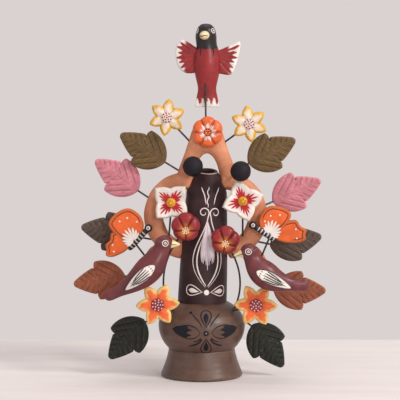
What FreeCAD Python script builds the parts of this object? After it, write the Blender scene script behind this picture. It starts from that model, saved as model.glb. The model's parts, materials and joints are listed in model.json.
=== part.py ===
import FreeCAD, Part
import math
import os

# Clay tree of life: a hollow foot, belly and bottle carry a frame of clay coils,
# and clay ornaments stand round the frame on wire stems set in pinholes.
# Millimetres. +X right, +Z up, the painted front faces -Y.
# The origin is the centre of the foot's ring, on the surface that it stands on.

# ---- driving dimensions -------------------------------------------------------------
# pot
foot_radius = 35.0
foot_edge = 2.0                # chamfer round the foot's lower rim
foot_height = 24.0
foot_bore = 22.0               # radius of the hole up into the foot, at its top
belly_radius = 37.0
belly_middle = 44.0            # height of the widest ring
belly_drop = 31.0              # semi-height of the quarter ellipse below that ring
belly_rise = 24.5              # and of the one above it
belly_top = 64.0
belly_opening = 16.0
pot_wall = 4.5
hollow_floor = 28.5
hollow_drop = 22.0             # semi-heights of the belly's hollow
hollow_rise = 18.3
bottle_radius = 20.9
bottle_taper = 3.7             # the bottle is this much slimmer at its shoulder
bottle_offset = 0.4            # the bottle stands this far off the belly's centre
bottle_lean = 2.3              # degrees, towards +X
bottle_wall = 4.2
bottle_shoulder = 95.0         # height of the shoulder's edge above the belly
bottle_height = 112.0          # height of the mouth above the belly
mouth_radius = 8.8
mouth_bore = 6.4
mouth_dip = 12.0               # degrees that the rim dips towards the front

# coil frame
coil_half_depth = 5.5
coil_half_width = 7.5
coil_swell = 0.7               # extra half width half way round a loop
loop_height = 137.5
loop_offset = 14.5             # from the bottle's centre line to a loop's centre
loop_radius = 30.0
arch_foot = 164.0
arch_height = 41.5
arch_half_span = 19.5
arch_point = 1.85              # power of the arch's curve: larger is rounder
arch_swell = 6.7               # extra half width at the crown
arm_start = 29.5               # from the bottle's centre line to an arm's upper end
arm_reach = 22.0
arm_tip = 80.0
arm_drop = 29.5
arm_half_width = 7.0
arm_tip_half_width = 3.2
shoulder_reach = 21.5          # where the arch is luted to the loops
shoulder_height = 168.5
shoulder_slope = 45.0

# stems and their holes
wire_radius = 0.8
pinhole_radius = 1.3           # wide enough for the stem to rock by a few degrees
pinhole_depth = 12.0
pinhole_floor = 0.5            # gap under the stem's inner end
root_outward = 3.5             # stems start this far outside a coil's centre line
stem_bite = 5.0                # length of stem inside a leaf

# ornaments
leaf_length = 45.0
leaf_thickness = 3.5
star_thickness = 4.0
star_waist = 0.66
yellow_star_radius = 15.8
orange_star_radius = 18.6
cup_radius = 18.0
cup_waist = 0.74
cup_thickness = 4.0
knob_radius = 3.2
round_flower_radius = 12.5
round_flower_depth = 9.0
berry_radius = 8.7
wing_thickness = 3.6
butterfly_length = 24.0
song_bird_head = 7.2
song_bird_reach = 49.0         # from the head's centre to the tail's tip, sideways
song_bird_depth = -37.0        # Y of the song birds' middle
top_bird_head = 8.7
top_bird_depth = 2.0

SIDES = {"left": -1, "right": 1}
MIDDLE = FreeCAD.Vector(0, 0, 0)
UP = FreeCAD.Vector(0, 0, 1)
BACK = FreeCAD.Vector(0, 1, 0)
RIGHT = FreeCAD.Vector(1, 0, 0)


# ---- helpers ------------------------------------------------------------------------
def vec(point):
    return FreeCAD.Vector(*point)


def steps(count):
    """Fractions from 0 to 1, with count intervals."""
    return [i / count for i in range(count + 1)]


def between(low, high, count):
    return [low + (high - low) * s for s in steps(count)]


def spline(points):
    curve = Part.BSplineCurve()
    curve.interpolate([vec(p) for p in points])
    return curve.toShape()


def arc(start, middle, end):
    return Part.Arc(vec(start), vec(middle), vec(end)).toShape()


def turned_solid(outline):
    """Revolve a closed wire of the XZ half plane about the Z axis, its seam at the back."""
    solid = Part.Face(outline).revolve(MIDDLE, UP, 360)
    solid.rotate(MIDDLE, UP, 90)
    return solid


def chain(points):
    """Straight edges through points given as (radius, height)."""
    corners = [FreeCAD.Vector(r, 0, z) for r, z in points]
    return [Part.LineSegment(a, b).toShape() for a, b in zip(corners, corners[1:])]


def profile(radius_at, heights):
    """Smooth edge whose radius is a function of height."""
    return spline([(radius_at(z), 0, z) for z in heights])


def ring_section(point, along, half_width, half_depth):
    """Ellipse across a path that lies in an XZ plane: wide axis in that plane, seam behind."""
    across = BACK.cross(along)
    turn = FreeCAD.Rotation(across, BACK, along, "ZYX")
    wide = max(half_width, half_depth + 0.001)
    oval = Part.Ellipse(MIDDLE, wide, half_depth).toShape(math.pi / 2, 5 * math.pi / 2)
    oval.Placement = FreeCAD.Placement(vec(point), turn)
    return Part.Wire([oval])


def roll(path, depth_y):
    """Tapered roll of clay: path holds (x, z, half width, half depth) at depth_y."""
    sections = []
    last = len(path) - 1
    for i, (x, z, half_width, half_depth) in enumerate(path):
        before = path[max(i - 1, 0)]
        after = path[min(i + 1, last)]
        along = FreeCAD.Vector(after[0] - before[0], 0, after[1] - before[1]).normalize()
        sections.append(ring_section((x, depth_y, z), along, half_width, half_depth))
    return Part.makeLoft(sections, True, False)


def plate(points, front, thickness):
    """Flat plate with an XZ outline, either way round; front is the Y of its front face."""
    corners = [FreeCAD.Vector(x, front, z) for x, z in points]
    area = sum(a.x * b.z - b.x * a.z for a, b in zip(corners, corners[1:] + corners[:1]))
    if area < 0:
        corners.reverse()
    face = Part.Face(Part.makePolygon(corners + corners[:1]))
    return face.extrude(BACK * thickness)


def face_front(shape, centre, turn):
    """Stand a piece that lies flat in XY up in the XZ plane, its top to the front."""
    shape.rotate(MIDDLE, UP, turn)
    shape.rotate(MIDDLE, RIGHT, 90)
    shape.translate(vec(centre))
    return shape


def wire_stem(points):
    """Round wire along a straight line (two points) or an arc (three points)."""
    ends = [vec(p) for p in points]
    if len(ends) == 2:
        run = ends[1] - ends[0]
        return Part.makeCylinder(wire_radius, run.Length, ends[0], run)
    path = Part.Arc(*ends)
    start = Part.Circle(ends[0], path.tangent(path.FirstParameter)[0], wire_radius)
    section = Part.Face(Part.Wire([start.toShape()]))
    return Part.Wire([path.toShape()]).makePipe(section)


def pinhole(points):
    """Hole for a stem: it starts just under the stem's inner end."""
    start = vec(points[0])
    if len(points) == 2:
        along = vec(points[1]) - start
    else:
        path = Part.Arc(*[vec(p) for p in points])
        along = path.tangent(path.FirstParameter)[0]
    along.normalize()
    return Part.makeCylinder(pinhole_radius, pinhole_depth, start - along * pinhole_floor, along)


def biggest(shape):
    """The main solid of a trimmed coil, without slivers left inside the bottle."""
    return max(shape.Solids, key=lambda solid: solid.Volume)


# ---- the pot: foot, belly and bottle ------------------------------------------------
def quarter_ellipses(z, radius, drop, rise):
    """Radius at height z of two quarter ellipses that meet at the belly's widest ring."""
    height = z - belly_middle
    semi = rise if height > 0 else drop
    return radius * math.sqrt(1 - (height / semi) ** 2)


def belly_at(z):
    return quarter_ellipses(z, belly_radius, belly_drop, belly_rise)


def hollow_at(z):
    return quarter_ellipses(z, belly_radius - pot_wall, hollow_drop, hollow_rise)


def foot_at(z):
    """The foot flares in a soft curve from the belly's underside to its own rim."""
    rise = (z - foot_edge) / (foot_height - foot_edge)
    neck = belly_at(foot_height)
    return neck + (foot_radius - neck) * (1 - rise) ** 1.4


def make_foot():
    neck = foot_at(foot_height)
    outer = profile(foot_at, between(foot_edge, foot_height, 4))
    inner = [(neck, foot_height), (foot_bore, foot_height), (foot_bore + 2, foot_height - 6)]
    inner += [(foot_radius - pot_wall, 0), (foot_radius - foot_edge, 0), (foot_radius, foot_edge)]
    return turned_solid(Part.Wire([outer] + chain(inner)))


def make_belly():
    ceiling = belly_middle + hollow_rise * math.sqrt(1 - (belly_opening / (belly_radius - pot_wall)) ** 2)
    outer = profile(belly_at, between(foot_height, belly_top, 6))
    top = chain([(belly_at(belly_top), belly_top), (belly_opening, belly_top), (hollow_at(ceiling), ceiling)])
    inner = profile(hollow_at, between(ceiling, hollow_floor, 6))
    floor = chain([(hollow_at(hollow_floor), hollow_floor), (0, hollow_floor), (0, foot_height),
                   (belly_at(foot_height), foot_height)])
    return turned_solid(Part.Wire([outer] + top + [inner] + floor))


def bottle_at(z):
    """The bottle's outer radius at a height above the belly, up to the shoulder's edge."""
    return bottle_radius - bottle_taper * (max(z, 0) / bottle_shoulder) ** 1.5


def bottle_outline(inset, foot_level, top_radius, top_level):
    edge = bottle_shoulder - inset
    mouth = bottle_height - inset / 2
    wall = profile(lambda z: bottle_at(z) - inset, between(foot_level, edge, 5))
    rim = bottle_at(edge) - inset
    slope = (top_radius + (rim - top_radius) * 0.4, 0, edge + 0.62 * (mouth - edge))
    shoulder = spline([(rim, 0, edge), slope, (top_radius, 0, mouth)])
    lid = chain([(top_radius, mouth), (top_radius, top_level), (0, top_level)])
    base = chain([(0, top_level), (0, foot_level), (bottle_at(foot_level) - inset, foot_level)])
    return Part.Wire([wall, shoulder] + lid + base)


def lean_bottle(shape):
    shape.rotate(MIDDLE, BACK, bottle_lean)
    shape.translate(FreeCAD.Vector(bottle_offset, 0, belly_top))
    return shape


def make_bottle():
    below = 4.0
    above = 6.0
    room = 80.0
    outside = turned_solid(bottle_outline(0, -below, mouth_radius, bottle_height + above))
    inside = turned_solid(bottle_outline(bottle_wall, -below - 1, mouth_bore, bottle_height + above + 1))
    rim_cut = Part.makeBox(room, room, room, FreeCAD.Vector(-room / 2, -room / 2, 0))
    rim_cut.rotate(MIDDLE, RIGHT, mouth_dip)
    rim_cut.translate(FreeCAD.Vector(0, 0, bottle_height))
    bottle = lean_bottle(outside.cut(inside).cut(rim_cut))
    belly_cut = Part.makeBox(room, room, room, FreeCAD.Vector(-room / 2, -room / 2, belly_top - room))
    return bottle.cut(belly_cut)


def bottle_core():
    """The bottle's outer shape without its hollow, for trimming what is luted to it."""
    return lean_bottle(turned_solid(bottle_outline(0, -4.0, mouth_radius, bottle_height + 1)))


# ---- the coil frame -----------------------------------------------------------------
def centre_x(z):
    """X of the leaning bottle's centre line at height z."""
    return bottle_offset + (z - belly_top) * math.tan(math.radians(bottle_lean))


def on_loop(side, degrees, outward=0.0):
    """Point of a loop's circle; 0 degrees is its outermost point and 90 its top."""
    angle = math.radians(degrees)
    reach = loop_radius + outward
    x = centre_x(loop_height) + side * (loop_offset + reach * math.cos(angle))
    return x, loop_height + reach * math.sin(angle)


def on_arch(side, z, outward=0.0):
    rise = (z - arch_foot) / arch_height
    return centre_x(arch_foot) + side * (arch_half_span * (1 - rise ** arch_point) + outward), z


def on_arm(side, z):
    """Point of an arm's quarter ellipse at height z."""
    down = math.sqrt(1 - ((z - arm_tip) / arm_drop) ** 2)
    return centre_x(arm_tip + arm_drop) + side * (arm_start + arm_reach * down), z


def coil(points):
    """Clay coil through (x, z, half width), all with the frame's half depth."""
    return roll([(x, z, wide, min(coil_half_depth, wide)) for x, z, wide in points], 0)


def loop_coil(side):
    points = []
    for s in steps(8):
        wide = coil_half_width + coil_swell * math.sin(math.pi * s)
        points.append((*on_loop(side, 90 - 180 * s), wide))
    return coil(points)


def arch_coil():
    half = []
    for s in steps(4):
        half.append((*on_arch(-1, arch_foot + arch_height * s), coil_half_width + arch_swell * s ** 4))
    other = [(2 * centre_x(arch_foot) - x, z, wide) for x, z, wide in reversed(half[:-1])]
    return coil(half + other)


def arm_coil(side):
    points = []
    for s in steps(5):
        z = arm_tip + arm_drop * math.cos(math.pi / 2 * s)
        wide = arm_half_width - (arm_half_width - arm_tip_half_width) * s ** 3
        points.append((*on_arm(side, z), wide))
    return coil(points)


def joint_block(side, above):
    """Block above or below the sloping face where the arch is luted to a loop's shoulder."""
    room = 60.0
    block = Part.makeBox(2 * room, room, room, FreeCAD.Vector(-room, -room / 2, 0 if above else -room))
    block.rotate(MIDDLE, BACK, -side * shoulder_slope)
    block.translate(FreeCAD.Vector(centre_x(arch_foot) + side * shoulder_reach, 0, shoulder_height))
    return block


def make_frame(core):
    """The arch stands on the loops' sloping shoulders, and the arms hang from the loops."""
    arch = arch_coil().cut(core)
    frame = {}
    for name, side in SIDES.items():
        arch = arch.cut(joint_block(side, above=False))
        loop = biggest(loop_coil(side).cut(core).cut(joint_block(side, above=True)))
        frame["loop_" + name] = loop
        frame["arm_" + name] = biggest(arm_coil(side).cut(loop).cut(core))
    frame["top_arch"] = biggest(arch)
    return frame


# ---- ornaments ----------------------------------------------------------------------
def leaf(base, tilt):
    """Three-lobed leaf that points away from its base (x, y, z) at tilt degrees."""
    edges = []
    for side in (1, -1):
        def at(along, across):
            return along * leaf_length, side * across * leaf_length, 0
        edges.append(arc(at(0, 0), at(0.18, 0.28), at(0.54, 0.38)))
        edges.append(arc(at(0.54, 0.38), at(0.59, 0.3), at(0.57, 0.23)))
        edges.append(arc(at(0.57, 0.23), at(0.84, 0.19), at(1, 0)))
    outline = Part.Wire(Part.__sortEdges__(edges))
    slab = Part.Face(outline).extrude(UP * leaf_thickness)
    slab.translate(UP * (-leaf_thickness / 2))
    return face_front(slab, base, tilt)


def pointed_plate(petals, radius, waist, thickness):
    """Flat star with pointed petals, lying in XY about the origin."""
    corners = []
    for i in range(2 * petals):
        reach = radius if i % 2 == 0 else radius * waist
        angle = math.pi * i / petals
        corners.append(FreeCAD.Vector(reach * math.cos(angle), reach * math.sin(angle), -thickness / 2))
    return Part.Face(Part.makePolygon(corners + corners[:1])).extrude(UP * thickness)


def star_flower(centre, radius, turn):
    """Six pointed petals round a raised disc."""
    petals = pointed_plate(6, radius, star_waist, star_thickness)
    disc = Part.makeCylinder(radius * 0.3, 1.4, UP * (star_thickness / 2))
    return face_front(petals.fuse(disc).removeSplitter(), centre, turn)


def cup_flower(centre, turn):
    """Four wide pointed petals round a knob."""
    petals = pointed_plate(4, cup_radius, cup_waist, cup_thickness)
    knob = Part.makeSphere(knob_radius, UP * (cup_thickness / 2))
    return face_front(petals.fuse(knob), centre, turn)


def round_flower(centre, turn):
    """Five fat lobes pressed together round a small eye."""
    lobes = 5
    half_depth = round_flower_depth / 2
    lobe_radius = round_flower_radius * 0.46
    body = Part.makeCylinder(round_flower_radius * 0.55, 2 * half_depth - 1, UP * (0.5 - half_depth))
    for i in range(lobes):
        angle = 2 * math.pi * i / lobes
        spot = FreeCAD.Vector(math.cos(angle), math.sin(angle), 0) * (round_flower_radius - lobe_radius)
        body = body.fuse(Part.makeSphere(lobe_radius, spot))
    room = 4 * round_flower_radius
    slice_box = Part.makeBox(room, room, 2 * half_depth, FreeCAD.Vector(-room / 2, -room / 2, -half_depth))
    return face_front(body.common(slice_box), centre, turn)


def berry(centre):
    return Part.makeSphere(berry_radius, vec(centre))


def butterfly(side, tail, heading):
    """Closed wings in one plane, and a body that runs from the tail at heading degrees."""
    tail_x, depth_y, tail_z = tail
    angle = math.radians(heading)

    def at(forward, out):
        x = forward * math.cos(angle) - out * math.sin(angle)
        return tail_x - side * x, tail_z + forward * math.sin(angle) + out * math.cos(angle)

    fore_wing = [at(19, 1), at(27, 9), at(27, 24), at(5, 28), at(7, 15), at(7, 1)]
    hind_wing = [at(12, 1), at(4, 1), at(-13, 8), at(-17, 15), at(-8, 21), at(4, 20), at(8, 14)]
    front = depth_y - wing_thickness / 2
    wings = plate(fore_wing, front, wing_thickness).fuse(plate(hind_wing, front, wing_thickness))
    nose_x, nose_z = at(butterfly_length, 0)
    nose = FreeCAD.Vector(nose_x, depth_y, nose_z)
    along = nose - vec(tail)
    body = Part.makeCone(1.8, 2.6, butterfly_length, vec(tail), along)
    return wings.fuse(body).fuse(Part.makeSphere(3.3, nose, along))


def song_bird(side, head, tail_drop, beak_dip):
    """Round-headed bird in profile, its back turned outwards and its tail low."""
    head_x, head_z = head
    breast = (8.0, -29.0)      # control point of the body's curve, out and up from the head
    trunk = []
    for s in steps(6):
        bend = 2 * s * (1 - s)
        out = bend * breast[0] + s * s * song_bird_reach
        up = bend * breast[1] - s * s * tail_drop
        plump = math.sin(math.pi * s ** 0.85) ** 2
        wide = 6.2 - 2.8 * s + 6.4 * plump
        deep = 6.0 - 4.2 * s + 5.2 * plump
        trunk.append((head_x + side * out, head_z + up, wide, deep))
    middle = FreeCAD.Vector(head_x, song_bird_depth, head_z)
    bill_run = FreeCAD.Vector(-side * math.cos(math.radians(beak_dip)), 0, -math.sin(math.radians(beak_dip)))
    bill = Part.makeCone(4.6, 1.0, 14.0, middle, bill_run)
    return roll(trunk, song_bird_depth).fuse(Part.makeSphere(song_bird_head, middle)).fuse(bill)


def top_bird(trunk_x, tail_z):
    """Bird that flies upwards, its belly to the front and its wings spread."""
    rings = [(0, 11, 2), (9, 9, 2.6), (16, 8, 4), (26, 10.5, 7), (36, 11.5, 8.5)]
    rings += [(46, 9.5, 8), (54, 7.5, 7.4)]
    trunk = [(trunk_x, tail_z + up, wide, deep) for up, wide, deep in rings]
    wing = [(6, 49), (20, 56), (26, 54), (27, 42), (24, 32), (18, 28), (8, 28)]
    wing_depth = 4.0
    bird = roll(trunk, top_bird_depth)
    for side in SIDES.values():
        outline = [(trunk_x + side * out, tail_z + up) for out, up in wing]
        bird = bird.fuse(plate(outline, top_bird_depth - wing_depth / 2, wing_depth))
    head = FreeCAD.Vector(trunk_x - 1, top_bird_depth, tail_z + 62)
    beak = Part.makeCone(4.4, 1.6, 7.5, head + FreeCAD.Vector(-1.5, -6, 0), -BACK)
    return bird.fuse(Part.makeSphere(top_bird_head, head)).fuse(beak)


# ---- where the ornaments stand: (x, y, z) and degrees -----------------------------------
crown_place = (5.0, -8.8, 208.5)
crown_turn = 90
top_bird_x = 4.5
top_bird_tail = 230.0
berry_places = {"left": (-7.5, -17.5, 180.5), "right": (32.5, -26.0, 177.0)}
yellow_star_places = {"left": ((-29.5, -6.5, 221.5), 22), "right": ((40.0, -6.5, 216.0), 38)}
orange_star_places = {"left": ((-37.0, -28.0, 65.0), 4), "right": ((45.5, -25.0, 64.0), 58)}
cup_flower_places = {"left": ((-26.0, -14.0, 150.0), 48), "right": ((34.5, -18.0, 151.5), 17)}
red_flower_places = {"left": ((-13.5, -25.5, 130.0), 90), "right": ((19.5, -25.5, 119.0), 80)}
butterfly_places = {"left": ((-63.5, -14.0, 109.5), 48), "right": ((65.5, -14.0, 117.0), 34)}
song_bird_places = {"left": ((-32.0, 117.5), 45.0, 2.0), "right": ((40.5, 110.5), 28.0, 12.0)}

# leaf bases and the degrees that each leaf rises away from the tree, from the top down
leaf_places = {
    "olive_leaf": {"left": ((-31, 0, 183), 32), "right": ((39.5, 0, 182), 27)},
    "pink_leaf": {"left": ((-54, 5, 158), 35), "right": ((60.5, 4, 149), 24)},
    "brown_leaf": {"left": ((-59, 6, 119.5), 10), "right": ((58.5, 6, 110.5), 11)},
    "rust_leaf": {"left": ((-65.5, 5, 85), -9), "right": ((61.5, 5, 72.5), 0)},
    "green_leaf": {"left": ((-49, -6, 49.5), -49), "right": ((43, -6, 45), -55)},
}


def flat(point_xz, depth_y):
    """Point (x, y, z) from a coil's (x, z) and a depth."""
    return point_xz[0], depth_y, point_xz[1]


def leaf_roots(name, side):
    """Inner end of each leaf's stem, on the coil or the belly that holds it."""
    roots = {
        "olive_leaf": flat(on_arch(side, 174.5, root_outward), 0),
        "pink_leaf": flat(on_loop(side, {-1: 23, 1: 13}[side], root_outward), 0.8),
        "brown_leaf": flat(on_loop(side, -40, root_outward), 1),
        "rust_leaf": flat(on_arm(side, {-1: 87.5, 1: 83.0}[side]), 1),
        "green_leaf": (side * 31.0, -4.5, 52.0),
    }
    return roots[name]


def make_ornaments():
    """Each stem-borne ornament, with its stem's points."""
    crown = arch_foot + arch_height
    made = {"top_bird": (top_bird(top_bird_x, top_bird_tail),
                         [(top_bird_x - 1, -1, crown + 6), (top_bird_x - 1.5, -3, top_bird_tail + 30)])}
    for name, side in SIDES.items():
        def add(kind, shape, stem):
            made[kind + "_" + name] = (shape, stem)

        # berries beside the mouth, on stems that run forward
        x, y, z = berry_places[name]
        berry_root = {-1: (-8.2, 0.5, 180.5), 1: (26.5, 0.5, 172.5)}[side]
        held = vec(berry_root) + (vec((x, y, z)) - vec(berry_root)) * 0.82
        add("berry", berry((x, y, z)), [berry_root, tuple(held)])

        # yellow stars above the arch
        (x, y, z), turn = yellow_star_places[name]
        add("yellow_star", star_flower((x, y, z), yellow_star_radius, turn),
            [flat(on_arch(side, 198, 6.0), 0), (x - side * 2, y + 0.5, z - 2)])

        # leaves, from the top down
        for kind, places in leaf_places.items():
            base, rise = places[name]
            tilt = rise if side > 0 else 180 - rise
            bite = FreeCAD.Vector(math.cos(math.radians(tilt)), 0, math.sin(math.radians(tilt))) * stem_bite
            held = tuple(vec(base) + bite)
            add(kind, leaf(base, tilt), [leaf_roots(kind, side), held])

        # white cup flowers above the cross coils
        (x, y, z), turn = cup_flower_places[name]
        add("cup_flower", cup_flower((x, y, z), turn),
            [flat(on_loop(side, -50, -root_outward), -1.5), (x, y + 0.5, z - 7)])

        # round red flowers on long bowed stems
        (x, y, z), turn = red_flower_places[name]
        add("red_flower", round_flower((x, y, z), turn),
            [(side * 26.5, -5, 56), (side * 32.5, -14.5, 82), (x + side * 2, y + 2, z - 4.8)])

        # butterflies outside the loops
        (x, y, z), heading = butterfly_places[name]
        add("butterfly", butterfly(side, (x, y, z), heading),
            [flat(on_arm(side, 98), -1), (x - side * 7, y + 0.4, z + 6)])

        # song birds in front, and the orange stars below them
        head, tail_drop, beak_dip = song_bird_places[name]
        perch_x, perch_z = on_arm(side, 92)
        add("song_bird", song_bird(side, head, tail_drop, beak_dip),
            [(perch_x, -0.5, perch_z), (perch_x, song_bird_depth + 5, perch_z)])
        (x, y, z), turn = orange_star_places[name]
        add("orange_star", star_flower((x, y, z), orange_star_radius, turn),
            [(side * 21.5, -12.5, 56), (x - side * 4, y + 0.4, z)])
    return made


# ---- assembly -----------------------------------------------------------------------
def build():
    core = bottle_core()
    pieces = {"foot": make_foot(), "belly": make_belly(), "bottle": make_bottle()}
    pieces.update(make_frame(core))
    pieces["crown_flower"] = round_flower(crown_place, crown_turn).cut(pieces["top_arch"])

    holders = ["belly", "top_arch", "loop_left", "loop_right", "arm_left", "arm_right"]
    for name, (shape, stem_points) in make_ornaments().items():
        stem = wire_stem(stem_points)
        hole = pinhole(stem_points)
        pieces[name] = shape.cut(stem)
        pieces[name + "_stem"] = stem
        print("stem", name, *[round(c, 4) for c in stem_points[0]])
        for holder in holders:
            if pieces[holder].BoundBox.intersect(hole.BoundBox):
                pieces[holder] = pieces[holder].cut(hole)
    return pieces


os.makedirs("parts", exist_ok=True)
for node, piece in build().items():
    solids = piece.Solids
    body = solids[0] if len(solids) == 1 else Part.makeCompound(solids)
    body.exportStep("parts/" + node + ".step")
    print(node, "solids", len(solids), "valid", piece.isValid(), "volume", round(piece.Volume, 1))
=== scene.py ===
import bpy
import bmesh
import json
from math import atan2, cos, degrees, hypot, pi, radians, sin, tan
import numpy as np
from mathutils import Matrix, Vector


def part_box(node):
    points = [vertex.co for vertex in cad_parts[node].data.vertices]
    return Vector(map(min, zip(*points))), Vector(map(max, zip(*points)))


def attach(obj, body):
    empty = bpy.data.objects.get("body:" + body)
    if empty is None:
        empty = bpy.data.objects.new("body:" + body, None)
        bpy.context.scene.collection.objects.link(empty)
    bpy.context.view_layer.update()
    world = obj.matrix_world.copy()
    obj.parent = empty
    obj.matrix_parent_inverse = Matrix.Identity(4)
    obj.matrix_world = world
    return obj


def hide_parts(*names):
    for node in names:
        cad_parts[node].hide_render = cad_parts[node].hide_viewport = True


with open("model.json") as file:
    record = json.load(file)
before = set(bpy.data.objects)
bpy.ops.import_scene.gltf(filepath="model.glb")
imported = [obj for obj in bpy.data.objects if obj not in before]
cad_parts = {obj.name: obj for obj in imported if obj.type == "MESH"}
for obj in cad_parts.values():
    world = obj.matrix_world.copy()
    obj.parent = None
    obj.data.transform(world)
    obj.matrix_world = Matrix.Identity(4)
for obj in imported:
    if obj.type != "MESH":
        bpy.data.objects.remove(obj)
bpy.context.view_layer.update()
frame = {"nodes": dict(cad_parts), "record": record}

# Clay tree of life. Lengths are millimetres in this script, and metres in Blender.
# +X right, +Z up, the painted front faces -Y. Flat ornaments are drawn in a local plane,
# (across, up, forward), and stand where the frame's box for their node says.
MM = 0.001
SIDES = {"left": -1, "right": 1}
TAU = 2 * pi
FRONT = np.array([0.0, -1.0, 0.0])

BODY_OF = {node: body for body, nodes in frame["record"]["behaviour"]["bodies"].items() for node in nodes}


# ---- colours ----
def tint(red, green, blue):
    """Linear colour from everyday 0 to 255 values."""
    c = np.array([red, green, blue]) / 255
    return np.where(c <= 0.04045, c / 12.92, ((c + 0.055) / 1.055) ** 2.4)


CLAY_BROWN = tint(92, 67, 56)
DARK_SLIP = tint(48, 29, 32)
ORANGE = tint(222, 100, 48)
DEEP_ORANGE = tint(205, 84, 40)
OCHRE = tint(196, 118, 48)
YELLOW = tint(210, 160, 42)
CREAM = tint(236, 226, 210)
WHITE = tint(228, 220, 213)
CRIMSON = tint(178, 36, 46)
MAROON = tint(112, 52, 54)
RED = tint(140, 38, 40)
NIGHT = tint(38, 31, 34)
TAN = tint(150, 96, 58)
BOW_WHITE = tint(232, 214, 212)


def blend(one, two, amount):
    """Mix of two colours, or arrays of them, by an array of amounts."""
    amount = np.clip(np.asarray(amount, float), 0, 1)[..., None]
    return one * (1 - amount) + two * amount


def soft(edge, x, width):
    """0 below an edge and 1 above it, with a smooth step of the given width."""
    s = np.clip((np.asarray(x) - edge) / width + 0.5, 0, 1)
    return s * s * (3 - 2 * s)


def hump(x, width):
    """1 where x is 0, and falling away on both sides."""
    return np.exp(-(x / width) ** 2)


def steps(count):
    return np.linspace(0, 1, count)


def turns(count):
    """Angles set evenly round a circle."""
    return np.linspace(0, TAU, count, endpoint=False)


def columns(*values):
    """Points from their coordinates, each an array or one number."""
    return np.stack(np.broadcast_arrays(*values), -1)


def oval(middle, across, up, angle):
    """Flat points round an oval, or round any curve whose half axes change with the angle."""
    return columns(middle[0] + across * np.cos(angle), middle[1] + up * np.sin(angle))


def toward(angle):
    return np.array([cos(angle), sin(angle)])


def unit(vectors, tiny=0.0):
    return vectors / (np.linalg.norm(vectors, axis=-1, keepdims=True) + tiny)


def upright(radius, angle, height):
    """Points round an upright axis, with the angle's zero to the front."""
    return columns(radius * np.sin(angle), -radius * np.cos(angle), height)


def put(name, data):
    """A new object in the scene."""
    thing = bpy.data.objects.new(name, data)
    bpy.context.scene.collection.objects.link(thing)
    return thing


# ---- meshes ----
def solid(name, parts, material, body, node=None):
    """One mesh of closed ring stacks, each (rings, colours, ends): rings is (R, N, 3) in mm."""
    points, colours, faces = [], [], []
    for rings, paint, capped in parts:
        count, around = rings.shape[:2]
        paint = np.broadcast_to(paint, rings.shape)
        start = len(points)
        points.extend(rings.reshape(-1, 3))
        colours.extend(paint.reshape(-1, 3))
        for i in range(count - capped):
            a, b = (start + ring % count * around for ring in (i, i + 1))
            faces.extend((a + j, a + (j + 1) % around, b + (j + 1) % around, b + j) for j in range(around))
        for ring in (0, count - 1) if capped else ():
            base, tip = start + ring * around, len(points)
            points.append(rings[ring].mean(0))
            colours.append(paint[ring].mean(0))
            faces.extend((base + j, base + (j + 1) % around, tip) for j in range(around))
    mesh = bpy.data.meshes.new(name)
    mesh.from_pydata([tuple(p * MM) for p in points], [], faces)
    layer = mesh.attributes.new("paint", "FLOAT_COLOR", "POINT")
    layer.data.foreach_set("color", np.c_[np.array(colours), np.ones(len(colours))].ravel())
    shell = bmesh.new()
    shell.from_mesh(mesh)
    bmesh.ops.recalc_face_normals(shell, faces=shell.faces)
    shell.to_mesh(mesh)
    shell.free()
    mesh.polygons.foreach_set("use_smooth", [True] * len(mesh.polygons))
    mesh.materials.append(material)
    piece = put(name, mesh)
    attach(piece, body)
    if node:
        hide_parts(node)
    return piece


def piece_for(node, parts, material):
    """A mesh that stands for a CAD node."""
    return solid(node + "_clay", parts, material, BODY_OF[node], node)


def marks(node, name, parts, material=None):
    """Raised brushwork, or an eye or a beak, that rides with a node's body; unless told, in brush-mark paint.
    """
    return solid(node + "_" + name, parts, material or BRUSH, BODY_OF[node])


def smooth_line(points, per_span=10):
    """Catmull-Rom curve through a few points."""
    p = np.asarray(points, float)
    p = np.vstack([2 * p[0] - p[1], p, 2 * p[-1] - p[-2]])
    a, b, c, d = (p[i:len(p) - 3 + i, None] for i in range(4))
    t = np.linspace(0, 1, per_span, endpoint=False)[:, None]
    spans = 2 * b + (c - a) * t + (2 * a - 5 * b + 4 * c - d) * t * t + (3 * b - a - 3 * c + d) * t ** 3
    return np.vstack([0.5 * spans.reshape(-1, p.shape[1]), p[-2]])


def closed_curve(points, per_span):
    """Smooth closed outline through a few points."""
    return smooth_line(np.vstack([points, points[:1]]), per_span)[:-1]


def tube(line, wide, deep, normal, around=24, colour=WHITE):
    """Rings of an oval section along a line; deep is measured along the normals."""
    normal = np.broadcast_to(normal, line.shape)
    along = unit(np.gradient(line, axis=0), 1e-9)
    across = unit(np.cross(along, normal), 1e-9)
    turn = turns(around)[:, None]
    wide, deep = (np.broadcast_to(half, len(line))[:, None, None] for half in (wide, deep))
    ring = across[:, None] * np.cos(turn) * wide + normal[:, None] * np.sin(turn) * deep
    return line[:, None] + ring, colour, True


STROKE_RISE, STROKE_FADE = 0.16, 5      # half a stroke's height, and one over the share of it that tapers


def stroke(surface, points, width, colour, taper=(0.35, 0.35), per_span=8):
    """Raised brush stroke through (across, up) points on a surface function."""
    flat = smooth_line(points, per_span)
    spots, normals = surface(flat[:, 0], flat[:, 1])
    s = steps(len(flat))
    start, end = taper
    full = np.minimum(start + (1 - start) * s * STROKE_FADE, end + (1 - end) * (1 - s) * STROKE_FADE)
    return tube(spots, width / 2 * np.clip(full, 0, 1), STROKE_RISE, normals, 8, colour)


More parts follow.
